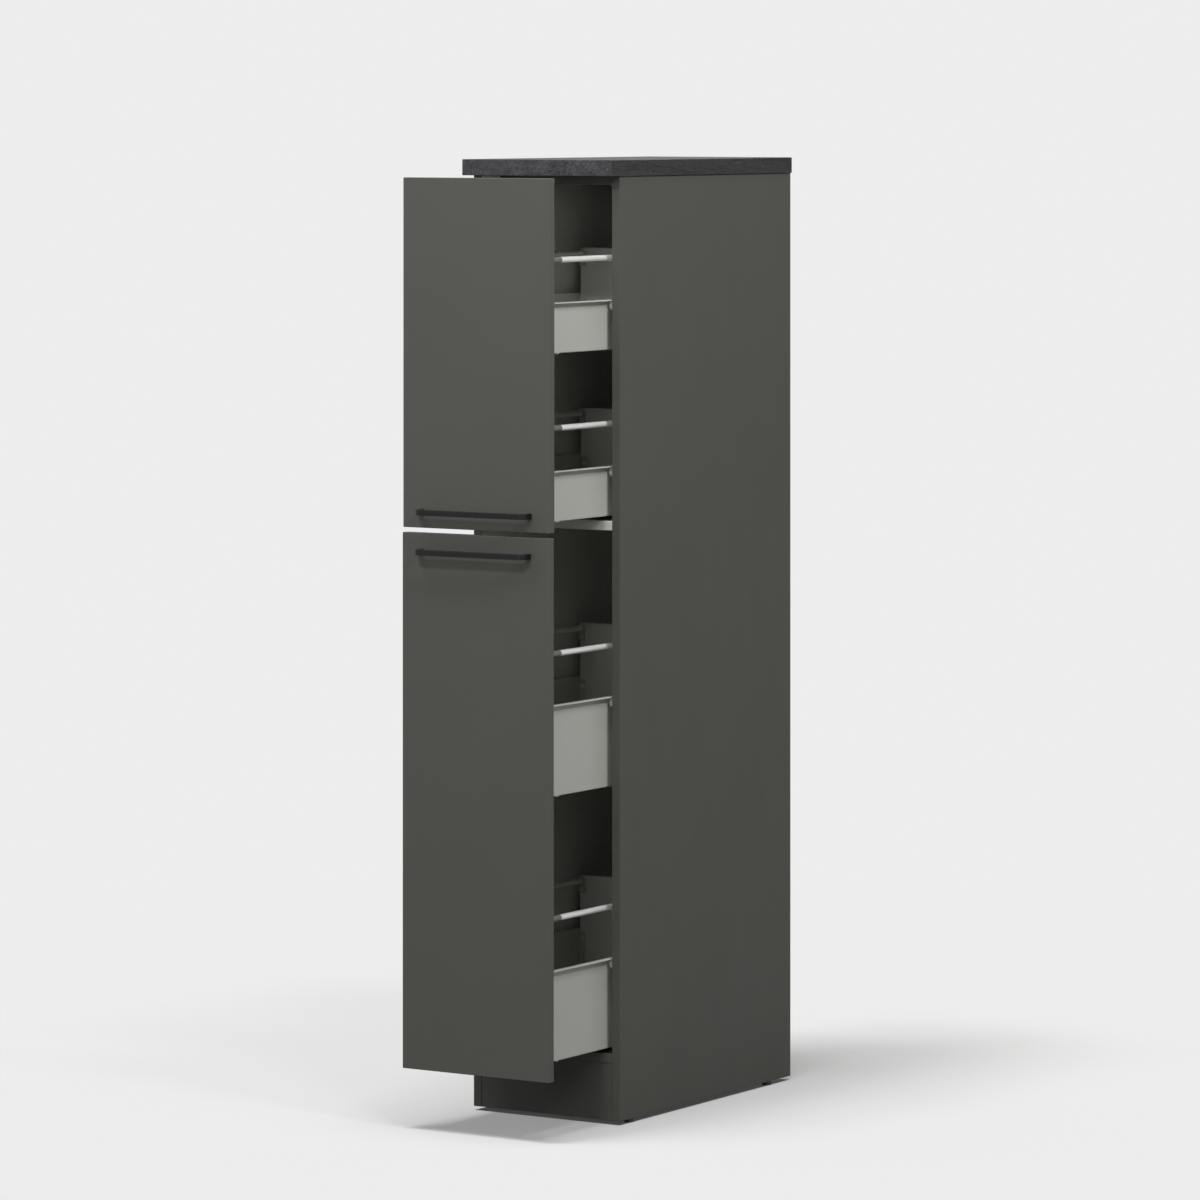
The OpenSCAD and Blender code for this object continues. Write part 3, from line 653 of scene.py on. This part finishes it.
sheet = 1.2 * MM
half_sheet = sheet / 2
bend = 1.4 * MM
flange_u = -10 * MM
plate_length = 22 * MM
stop_y = carcass_y + 76.1 * MM
tab_reach = 9.6 * MM
tab_drop = 3 * MM
pin_r = 2 * MM
pin_length = 10.4 * MM
pin_x = inner_x - 11.2 * MM
shoulder_x = inner_x - 4.4 * MM
shoulder_profile = [(0, 0), (0, 2.8 * MM), (0.4 * MM, shoulder_r), (3.4 * MM, shoulder_r), (3.4 * MM, 0)]
for n in TRAYS:
    node = "tray%d_runners" % n
    low, high = corners(node)
    step_y = low[1] + plate_length
    bottom, top = low[2] + half_sheet, high[2] - half_sheet
    plate = folded([(-half_sheet, high[2]), (-half_sheet, low[2])], sheet, bend)
    channel = folded([(flange_u, top), (-half_sheet, top), (-half_sheet, bottom), (flange_u, bottom)],
                     sheet, bend)
    pin_y, pin_z = corners("tray%d_front_rollers" % n).mean(axis=0)[1:]
    shape = joined(
        sheet_along_y(plate, low[1], step_y, (inner_x, 0)),
        sheet_along_y(channel, step_y, high[1], (inner_x, 0)),
        rounded_box((inner_x - tab_reach, stop_y, high[2] - sheet - tab_drop),
                    (inner_x - sheet, stop_y + sheet, high[2] - half_sheet), radius=0.3 * MM, steps=2),
        plain_pin(pin_r, pin_length, pin_x, pin_y, pin_z),
        lathe(shoulder_profile, (shoulder_x, pin_y, pin_z), 0, PIN_SIDES),
        rivet(pin_x, pin_y, pin_z))
    piece(node + "_channels", both_sides(shape), "carcass", "runner_steel", [node], grey_steel)


# Runner screws
# Three flat-headed zinc screws hold each runner in the system holes of a side panel. Their low
# heads lie between its flanges.

runner_head = turned(slotted_head(radius=4.5 * MM, height=1.3 * MM, slot_width=1.0 * MM,
                                  slot_length=5 * MM, depth=0.9 * MM), "-x")
SCREWS_BEHIND_FRONT = (37, 261, 453)
heads = []
for n in TRAYS:
    middle_z = corners("tray%d_runners" % n).mean(axis=0)[2]
    heads += [moved(runner_head, (inner_x - sheet, carcass_y + y * MM, middle_z))
              for y in SCREWS_BEHIND_FRONT]
piece("runner_screws_heads", both_sides(joined(*heads)), "carcass", "zinc_steel", ["runner_screws"],
      zinc_plate)


# Nylon rollers
# White nylon wheels, 17 mm across, with a thinner web between hub and rim. A front pair turns on
# pins of the runners and a rear pair on pins of the tray sides.

def nylon(name):
    """White nylon: a faint yellow cast in clouds, and the fine grain of the mould."""
    finish = Finish(name, Specular_IOR_Level=0.5)
    clouds = finish.place.noise(160, 3)
    grit = finish.place.noise(2600, 2)
    return finish.link(
        Base_Color=(clouds * 0.7 + grit * 0.3).tint(linear(214, 213, 206), linear(238, 238, 233)),
        Roughness=0.38 + grit * 0.12,
        Normal=finish.bump(grit, depth=0.02 * MM, strength=0.4))


white_nylon = nylon("white_nylon")


def roller(width, radius, bore):
    """Wheel profile as (height, radius) points round X: over hub, web and the rim's fillet, a
    quarter circle, on one side, and back over the same on the other."""
    hub, rim = bore + 1.95 * MM, radius - 1.8 * MM
    fillet, web, draft = 0.7 * MM, 1.0 * MM, 0.15 * MM
    turn = np.linspace(0, np.pi / 2, 5)
    side = sampled([(0, bore), (0, hub), (web, hub + draft), (web, rim - draft), (0, rim)])
    round_edge = np.stack([-np.cos(turn), np.sin(turn)], axis=-1) * fillet + [fillet, radius - fillet]
    near = np.concatenate([side, round_edge])
    far = near[::-1] * [-1, 1] + [width, 0]
    return np.concatenate([near, far])


def ring_of(profile, centre, axis=0, around=56):
    """A closed profile carried round an axis, with a hole through the middle."""
    profile = sampled(profile)
    angle = np.linspace(0, 2 * np.pi, around, endpoint=False)
    points = np.zeros((len(profile), around, 3))
    points[..., axis] = profile[:, 0][:, None]
    points[..., (axis + 1) % 3] = profile[:, 1][:, None] * np.cos(angle)
    points[..., (axis + 2) % 3] = profile[:, 1][:, None] * np.sin(angle)
    return (points + sampled(centre)).reshape(-1, 3), grid_faces(len(profile), around, close_rows=True)


roller_w = 6.4 * MM
bore_r = 2.06 * MM
for n in TRAYS:
    for where in ("front", "rear"):
        node = "tray%d_%s_rollers" % (n, where)
        low, high = corners(node)
        wheel = ring_of(roller(roller_w, (high[2] - low[2]) / 2, bore_r),
                        (high[0] - roller_w, (low[1] + high[1]) / 2, (low[2] + high[2]) / 2))
        piece(node + "_wheels", both_sides(wheel), "tray%d_%s_roller_pair" % (n, where), "nylon", [node],
              white_nylon)


# Fronts
# Two 16 mm fronts in matt graphite laminate with edging all round, one above the other. Each has
# two holes for its handle, with the screw heads sunk into its back.

def bored(made, holes):
    """Cuts round holes along Y out of a piece, each (x, y0, y1, z, radius), with a Boolean."""
    shapes = [lathe([(y0, 0), (y0, r), (y1, r), (y1, 0)], (x, 0, z), axis=1, around=40)
              for x, y0, y1, z, r in holes]
    points, faces = welded(*joined(*shapes))
    mesh = bpy.data.meshes.new("drill")
    mesh.from_pydata(points, [], faces)
    drill = bpy.data.objects.new("drill", mesh)
    bpy.context.scene.collection.objects.link(drill)
    cut = made.modifiers.new("bores", "BOOLEAN")
    cut.operation = "DIFFERENCE"
    cut.solver = "EXACT"
    cut.object = drill
    view = bpy.context.evaluated_depsgraph_get()
    result = bpy.data.meshes.new_from_object(made.evaluated_get(view))
    made.modifiers.remove(cut)
    old = made.data
    made.data = result
    bpy.data.meshes.remove(old)
    bpy.data.objects.remove(drill)
    bpy.data.meshes.remove(mesh)


PULLOUTS = {"upper": (1, 2), "lower": (3, 4)}
front_face = laminate("front_laminate", linear(80, 81, 76), rough=0.5)
front_edge = edging("front_edging", linear(79, 80, 75))
front_arris = 1.0 * MM
leg_x = 109 * MM
hole_r = 2.05 * MM
sink_r = 4.5 * MM
sink_depth = 3 * MM
for word in PULLOUTS:
    made = board(word + "_front", word + "_pullout", "graphite_board", front_arris, front_face,
                 front_edge)
    (_, y0, _), (_, y1, _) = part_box(word + "_front")
    z = corners(word + "_handle").mean(axis=0)[2]
    bored(made, [(x, y0 - MM, y1 + MM, z, hole_r) for x in (-leg_x, leg_x)]
          + [(x, y1 - sink_depth, y1 + MM, z, sink_r) for x in (-leg_x, leg_x)])


# Handles
# A bow bent from one flat-sided bar in satin dark grey, with rounded arrises. Its two legs stand
# on the front and are held by screws from behind.

def satin_metal(name):
    """Satin lacquer on brushed metal: faint lines along the bar over an even dark grey."""
    finish = Finish(name, Metallic=0.3, Specular_IOR_Level=0.25)
    lines = finish.place.stretched(0.03, 1, 1).noise(2600, 3, 0.6)
    clouds = finish.place.noise(45, 2)
    return finish.link(
        Base_Color=(lines * 0.5 + clouds * 0.5).tint(linear(20, 20, 20), linear(31, 31, 30)),
        Roughness=0.36 + lines * 0.14,
        Normal=finish.bump(lines, depth=0.01 * MM, strength=0.5))


def bow(length, out, thick, tall, bend, arris, foot):
    """Handle along X. The bar's rounded section is carried along the plan: up a leg, round a
    quarter circle, along the bar and back; out is the reach along -Y and foot the y of the front."""
    middle = bend - thick / 2
    reach = out - thick / 2
    turn = np.linspace(0, np.pi / 2, 13)
    leg = length / 2 - thick / 2
    corner = np.stack([np.cos(turn), np.sin(turn)], axis=-1) * middle + [leg - middle, reach - middle]
    half = np.concatenate([sampled([(leg, 0), (leg, (reach - middle) / 2)]), corner])
    plan = np.concatenate([half, half[::-1] * [-1, 1]])
    along = np.gradient(plan, axis=0)
    along /= np.hypot(along[:, 0], along[:, 1])[:, None]
    sideways = np.stack([along[:, 1], -along[:, 0]], axis=-1)
    quarter = np.linspace(0, np.pi / 2, 5)
    section = np.concatenate([np.stack([
        a * (thick / 2 - arris) + arris * np.cos(quarter + q * np.pi / 2),
        b * (tall / 2 - arris) + arris * np.sin(quarter + q * np.pi / 2)], axis=-1)
        for q, (a, b) in enumerate([(1, 1), (-1, 1), (-1, -1), (1, -1)])])
    points = np.zeros((len(plan), len(section), 3))
    points[..., 0] = plan[:, 0][:, None] + sideways[:, 0][:, None] * section[:, 0]
    points[..., 1] = foot - plan[:, 1][:, None] - sideways[:, 1][:, None] * section[:, 0]
    points[..., 2] = section[:, 1]
    return closed_tube(points)


handle_metal = satin_metal("satin_dark_metal")
for word in PULLOUTS:
    (x0, y0, z0), (x1, y1, z1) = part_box(word + "_handle")
    z = (z0 + z1) / 2
    shape = bow(length=x1 - x0, out=y1 - y0, thick=8 * MM, tall=z1 - z0, bend=14 * MM, arris=1.1 * MM,
                foot=y1)
    piece(word + "_handle_bow", moved(shape, (0, 0, z)), word + "_pullout", "handle_metal",
          [word + "_handle"], handle_metal)
    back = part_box(word + "_front")[1][1]
    heads = moved(turned(screw_head, "+y"), (leg_x, back - sink_depth, z))
    piece(word + "_handle_screws_heads", both_sides(heads), word + "_pullout", "zinc_steel",
          [word + "_handle_screws"], zinc_plate)


# Tray sides
# Steel folded on a press brake: a foot under the tray floor, the wall, and a flange with a
# turned-down lip that rides on the front rollers. Tabs at both ends take the screws.

tray_body = {n: word + "_pullout" for word, trays in PULLOUTS.items() for n in trays}
tray_heads = {body: [] for body in tray_body.values()}
flange_w = 9.8 * MM
foot_w = 14 * MM
lip_h = 1.9 * MM
fold = 1.1 * MM
tab_rise = 22 * MM
tab_gap = 6 * MM
rear_pin = 8.9 * MM
rear_shoulder = 2.1 * MM
screw_in = 7.6 * MM
low_screw = 34 * MM
high_screw = 18 * MM
foot_screw = 60 * MM
for n in TRAYS:
    low, high = corners("tray%d_side_right" % n)
    wall_x = high[0] - flange_w
    tall = high[2] - low[2]
    lip_u = flange_w - half_sheet
    section = folded([(-foot_w, half_sheet), (-half_sheet, half_sheet), (-half_sheet, tall - half_sheet),
                      (lip_u, tall - half_sheet), (lip_u, tall - lip_h)], sheet, fold)
    tabs = [rounded_box((wall_x - foot_w, y, low[2] + tab_rise),
                        (wall_x - half_sheet, y + sheet, high[2] - tab_gap), radius=0.4 * MM, steps=3)
            for y in (low[1], high[1] - sheet)]
    pin_y, pin_z = corners("tray%d_rear_rollers" % n).mean(axis=0)[1:]
    shape = joined(
        sheet_along_y(section, low[1], high[1], (wall_x, low[2])), *tabs,
        plain_pin(pin_r, rear_pin, wall_x, pin_y, pin_z),
        plain_pin(shoulder_r, rear_shoulder, wall_x, pin_y, pin_z),
        moved(mirrored(rivet(0, 0, 0)), (wall_x + rear_pin, pin_y, pin_z)))
    for side, made in (("right", shape), ("left", mirrored(shape))):
        node = "tray%d_side_%s" % (n, side)
        piece(node + "_sheet", made, tray_body[n], "tray_steel", [node], grey_steel)
    screw_x = wall_x - screw_in
    for z in (low[2] + low_screw, high[2] - high_screw):
        tray_heads[tray_body[n]] += [moved(turned(screw_head, "+y"), (screw_x, low[1] + sheet, z)),
                                     moved(turned(screw_head, "-y"), (screw_x, high[1] - sheet, z))]
    for y in (low[1] + foot_screw, (low[1] + high[1]) / 2, high[1] - foot_screw):
        tray_heads[tray_body[n]].append(moved(screw_head, (screw_x, y, low[2])))


# Tray floors and backs
# Light grey laminated boards: the floor lies on the feet of the steel sides, and the back stands
# behind both and is screwed to the rear tabs.

tray_arris = 0.6 * MM
for n in TRAYS:
    for part in ("bottom", "back"):
        board("tray%d_%s" % (n, part), tray_body[n], "graphite_board", tray_arris, light_face,
              light_edge)


# Gallery rails
# Bright steel tubes, 10 mm across, one along each side of a tray. Each slips over spigots of the
# grey fittings at its ends.

def bright_steel(name):
    """Bright lacquered steel: drawn lines along the tube and a soft, even shine."""
    finish = Finish(name, Metallic=0.20, Specular_IOR_Level=0.6)
    lines = finish.place.stretched(1, 0.02, 1).noise(3200, 3, 0.6)
    clouds = finish.place.noise(60, 2)
    return finish.link(
        Base_Color=(lines * 0.4 + clouds * 0.6).tint(linear(222, 222, 219), linear(240, 240, 237)),
        Roughness=0.30 + lines * 0.10,
        Normal=finish.bump(lines, depth=0.008 * MM, strength=0.4))


rail_steel = bright_steel("bright_rail_steel")
rail_ends = {}
tube_wall = 1 * MM
tube_chamfer = 0.25 * MM
for n in TRAYS:
    node = "tray%d_rails" % n
    low, high = corners(node)
    radius = (high[2] - low[2]) / 2
    rail_x, rail_z = high[0] - radius, (low[2] + high[2]) / 2
    rail_ends[n] = (rail_x, rail_z, low[1], high[1], radius)
    inside, chamfered = radius - tube_wall, radius - tube_chamfer
    tube = [(low[1], inside), (low[1], chamfered), (low[1] + tube_chamfer, radius),
            (high[1] - tube_chamfer, radius), (high[1], chamfered), (high[1], inside)]
    piece(node + "_tubes", both_sides(ring_of(tube, (rail_x, 0, rail_z), axis=1, around=48)),
          tray_body[n], "rail_steel", [node], rail_steel)


# Rail fittings
# Moulded plastic. The front one is a long dark grey sleeve flush with the tube, the rear one a
# short light grey socket, and each has a flange plate with one screw.

grey_plastic = plastic("grey_plastic", linear(106, 106, 103), rough=0.45)
pale_plastic = plastic("pale_grey_plastic", linear(172, 172, 167), rough=0.45)
plate_w = 14 * MM
plate_t = 2.5 * MM
plate_above = 2 * MM
plate_below = 23 * MM
plate_screw = 16 * MM


def sleeve(plate_y, tube_y, radius, centre):
    """Round sleeve from its plate to the tube's end, with a spigot in the tube, as a profile carried
    round Y. It has a rim at the plate and a bevelled shoulder at the tube. The profile has to run
    towards +Y for the faces to point outwards, so that of a rear sleeve is turned about."""
    way = int(math.copysign(1, tube_y - plate_y))
    rim, groove, spigot = radius + 0.3 * MM, radius - 0.3 * MM, radius - 1.1 * MM
    neck_y = plate_y + way * 3.2 * MM
    shoulder_y = tube_y - way * 0.5 * MM
    joint_y = tube_y - way * 0.1 * MM
    spigot_y = tube_y + way * 9 * MM
    profile = [(plate_y, 0), (plate_y, rim), (plate_y + way * plate_t, rim), (neck_y, radius),
               (shoulder_y, radius), (joint_y, groove), (joint_y, spigot), (spigot_y, spigot),
               (spigot_y, 0)]
    return lathe(profile[::way], centre, axis=1)


for n in TRAYS:
    node = "tray%d_rail_fittings" % n
    (_, front, _), (_, rear, _) = corners(node)
    rail_x, rail_z, tube_front, tube_rear, radius = rail_ends[n]
    front_plate, rear_plate = [
        rounded_box((rail_x - plate_w / 2, y, rail_z - plate_below),
                    (rail_x + plate_w / 2, y + plate_t, rail_z + plate_above), radius=0.8 * MM)
        for y in (front, rear - plate_t)]
    front_sleeve = sleeve(front, tube_front, radius, (rail_x, 0, rail_z))
    rear_socket = sleeve(rear, tube_rear, radius, (rail_x, 0, rail_z))
    piece(node + "_sleeves", both_sides(joined(front_plate, front_sleeve)), tray_body[n],
          "sleeve_plastic", [node], grey_plastic)
    piece(node + "_sockets", both_sides(joined(rear_plate, rear_socket)), tray_body[n],
          "sleeve_plastic", [], pale_plastic)
    screw_z = rail_z - plate_screw
    tray_heads[tray_body[n]] += [moved(turned(screw_head, "+y"), (rail_x, front + plate_t, screw_z)),
                                 moved(turned(screw_head, "-y"), (rail_x, rear - plate_t, screw_z))]


# Tray screws
# Zinc-plated pan-head screws through the tabs and feet of the tray sides and the plates of the
# rail fittings.

for word in PULLOUTS:
    piece(word + "_screws_heads", both_sides(joined(*tray_heads[word + "_pullout"])), word + "_pullout",
          "zinc_steel", [word + "_screws"], zinc_plate)


# Studio floor
# A wide sheet of pale paper under the cabinet, with no seam to the plain pale surroundings. The paper is a
# little lighter where less light falls, so that it looks even, and its glow is turned down under the
# carcass as a painted contact shadow.

PALE = 0.851
BLUE_SHARE = 0.997
half_paper = 40.0
foot_x, foot_y = float(carcass_high[0]), float(carcass_high[1])
middle_y = float(carcass_low[1] + carcass_high[1]) / 2
paper_points = sampled([(-half_paper, -half_paper, 0), (half_paper, -half_paper, 0),
                        (half_paper, half_paper, 0), (-half_paper, half_paper, 0)])
paper_mesh = bpy.data.meshes.new("studio_paper")
paper_mesh.from_pydata(paper_points, [], [(0, 1, 2, 3)])
studio_floor = bpy.data.objects.new("studio_paper", paper_mesh)
bpy.context.scene.collection.objects.link(studio_floor)


def seen(place):
    """1 for rays that show the surroundings, straight, in gloss or through clear parts, and 0 for the
    others: the greatest of the three kinds."""
    camera_ray = place.node("LightPath", {}, 0)
    glossy_ray = place.node("LightPath", {}, 3)
    clear_ray = place.node("LightPath", {}, 6)
    return camera_ray.math("MAXIMUM", camera_ray.math("MAXIMUM", camera_ray, glossy_ray), clear_ray)


def studio_paper(own_glow):
    """Paper whose shade, a + b x + c y + d r * r, is the even tone over the light that falls at (x, y),
    with faint clouds in it. It fades to an even glow between 1.7 and 3.2 m, and light that bounces off it
    is dim. Its own glow is weak under the carcass, where the greater of |x| - foot_x and |y - middle_y| -
    half the depth is below zero: a painted contact shadow under the cabinet."""
    material = bpy.data.materials.new("studio_paper")
    material.use_nodes = True
    tree = material.node_tree
    tree.nodes.clear()
    place = Wire(tree.nodes.new("ShaderNodeTexCoord").outputs["Object"])
    x = place.node("SeparateXYZ", {}, 0, Vector=place)
    y = place.node("SeparateXYZ", {}, 1, Vector=place)
    square = x * x + y * y
    tone = 0.4992 - 0.0061 * x + 0.0292 * y + 0.0181 * square
    tone = tone * (0.996 + place.noise(3.0, 2) * 0.008)
    tone = place.node("CombineXYZ", {}, X=tone, Y=tone, Z=tone * BLUE_SHARE)
    lit = place.node("BsdfDiffuse", {}, Color=tone)
    # Painted contact shadow: the paper's own glow drops to 0.17 of itself under the carcass.
    aside = place.math("ABSOLUTE", x) - foot_x
    ahead = place.math("ABSOLUTE", y - middle_y) - (foot_y - middle_y)
    glow = place.node("MapRange", {}, Value=place.math("MAXIMUM", aside, ahead),
                      From_Min=-4 * MM, From_Max=0.0, To_Min=0.17, To_Max=1.0) * own_glow
    glow = place.node("Emission", {}, Color=place.node("CombineXYZ", {}, X=glow, Y=glow, Z=glow))
    lit = place.node("AddShader", {}, i0=lit, i1=glow)
    even = place.node("Emission", {}, Color=(PALE, PALE, PALE * BLUE_SHARE, 1))
    far = place.node("MapRange", {"interpolation_type": "SMOOTHSTEP"}, Value=place.math("SQRT", square),
                     From_Min=1.7, From_Max=3.2)
    shown = place.node("MixShader", {}, i0=far, i1=lit, i2=even)
    dim = place.node("BsdfDiffuse", {}, Color=(0.20, 0.20, 0.20, 1))
    whole = place.node("MixShader", {}, i0=seen(place), i1=dim, i2=shown)
    out = tree.nodes.new("ShaderNodeOutputMaterial")
    tree.links.new(whole.socket, out.inputs["Surface"])
    return material


paper_mesh.materials.append(studio_paper(0.260))


# Studio light
# Soft boxes round the cabinet, each turned to its middle. Some light the cabinet alone and some the
# paper alone, so that the paper's shadows stay short. The air adds an even light of its own.

AIR = 0.152
world = bpy.data.worlds.new("studio_air")
bpy.context.scene.world = world
world.use_nodes = True
air = world.node_tree.nodes["Background"]
strength = AIR + seen(Wire(air.outputs["Background"])) * (PALE - AIR)
world.node_tree.links.new(strength.socket, air.inputs["Strength"])
air.inputs["Color"].default_value = (1, 1, BLUE_SHARE, 1)


def lit_by(name, state):
    """Group for a lamp's light: only the paper (INCLUDE) or all but the paper (EXCLUDE)."""
    group = bpy.data.collections.new(name)
    group.objects.link(studio_floor)
    group.collection_objects[0].light_linking.link_state = state
    return group


aim_z = 0.9


def soft_box(name, group, azimuth, height, watts, size, distance=6.0):
    """Square lamp on a sphere round the cabinet's middle, turned to it: azimuth in degrees to the
    right of the front, height in degrees up."""
    lamp = bpy.data.lights.new(name, "AREA")
    lamp.shape = "SQUARE"
    lamp.size = size
    lamp.energy = watts
    a, h = math.radians(azimuth), math.radians(height)
    holder = bpy.data.objects.new(name, lamp)
    holder.location = (distance * math.cos(h) * math.sin(a), -distance * math.cos(h) * math.cos(a),
                       aim_z + distance * math.sin(h))
    holder.rotation_euler = (math.radians(90) - h, 0, a)
    holder.light_linking.receiver_collection = group
    bpy.context.scene.collection.objects.link(holder)


cabinet_light = lit_by("cabinet_light", "EXCLUDE")
soft_box("left_box", cabinet_light, -60, 20, 42, size=2.4)
soft_box("low_front_box", cabinet_light, 15, 10, 42, size=2.4)
soft_box("small_front_box", cabinet_light, 10, 40, 115, size=0.6)
soft_box("small_right_box", cabinet_light, 69, 38, 88, size=0.6)
soft_box("small_side_box", cabinet_light, 85, 38, 24, size=0.6)
soft_box("near_front_box", cabinet_light, -30, 62, 48, size=1.6, distance=3.5)
soft_box("near_right_box", cabinet_light, 65, 50, 27, size=0.8, distance=3.0)
soft_box("rear_box", cabinet_light, 185, 30, 90, size=2.4)
soft_box("rear_left_box", cabinet_light, -115, 30, 60, size=2.4)

paper_light = lit_by("paper_light", "INCLUDE")
soft_box("high_front_box", paper_light, 20, 84, 217, size=1.2)
soft_box("high_left_box", paper_light, -24, 75, 179, size=1.2)
soft_box("small_high_box", paper_light, -15, 72, 25, size=0.6)
soft_box("small_far_box", paper_light, 68, 60, 43, size=0.6)
soft_box("small_corner_box", paper_light, 45, 57, 31, size=0.6)


# Camera
# A long lens a little above the worktop, on the right of the front and turned 32 degrees to it. Its
# downward shift keeps upright edges upright in the picture.

camera = bpy.data.cameras.new("product_view")
camera.sensor_width = 36.0
camera.lens = 179.68
camera.shift_y = -0.41554
camera.clip_end = 200.0
view = bpy.data.objects.new("product_view", camera)
view.location = (5.6115, -8.8142, 1.7500)
view.rotation_euler = (math.radians(90), 0, math.radians(32.453))
bpy.context.scene.collection.objects.link(view)
bpy.context.scene.camera = view
bpy.context.scene.view_settings.view_transform = "Standard"
